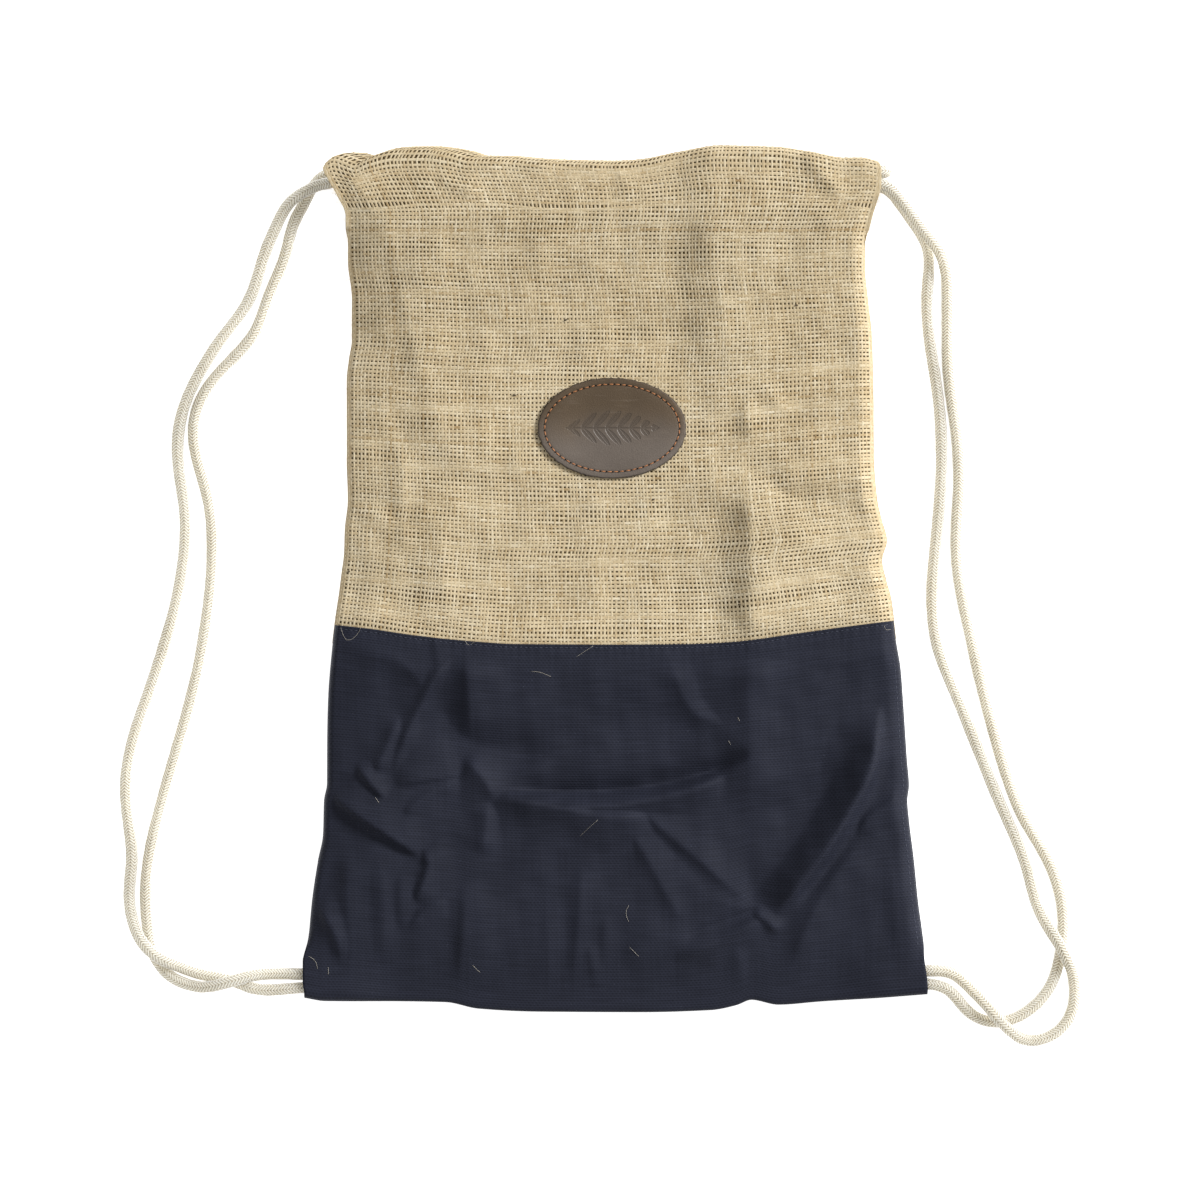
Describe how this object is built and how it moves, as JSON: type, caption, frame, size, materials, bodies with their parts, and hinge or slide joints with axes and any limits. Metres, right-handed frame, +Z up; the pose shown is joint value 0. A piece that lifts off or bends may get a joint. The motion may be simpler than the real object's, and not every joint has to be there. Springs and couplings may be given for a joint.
{
  "type": "drawstring burlap bag",
  "caption": "Flat-lying drawstring bag: burlap upper, dark canvas base lapped over it, oval leather patch, and two long looped cotton cords run through the top hem.",
  "frame": {"origin": "middle of the bag's outline, on the floor that it lies on", "axes": "+X to the right of the bag, +Y towards its mouth, +Z up from the floor, out of its front"},
  "size_m": [0.5274, 0.4929, 0.0244],
  "materials": {
    "burlap": "open plain weave of coarse natural jute yarn",
    "canvas": "dark navy cotton canvas, matt, fine weave",
    "leather": "dark brown leather, satin, with contrast stitching",
    "cord": "cream braided cotton"
  },
  "bodies": {
    "root": {"burlap_front": "burlap", "burlap_back": "burlap", "canvas_base": "canvas", "leather_patch": "leather", "cord_left": "cord", "cord_right": "cord"}
  },
  "joints": []
}
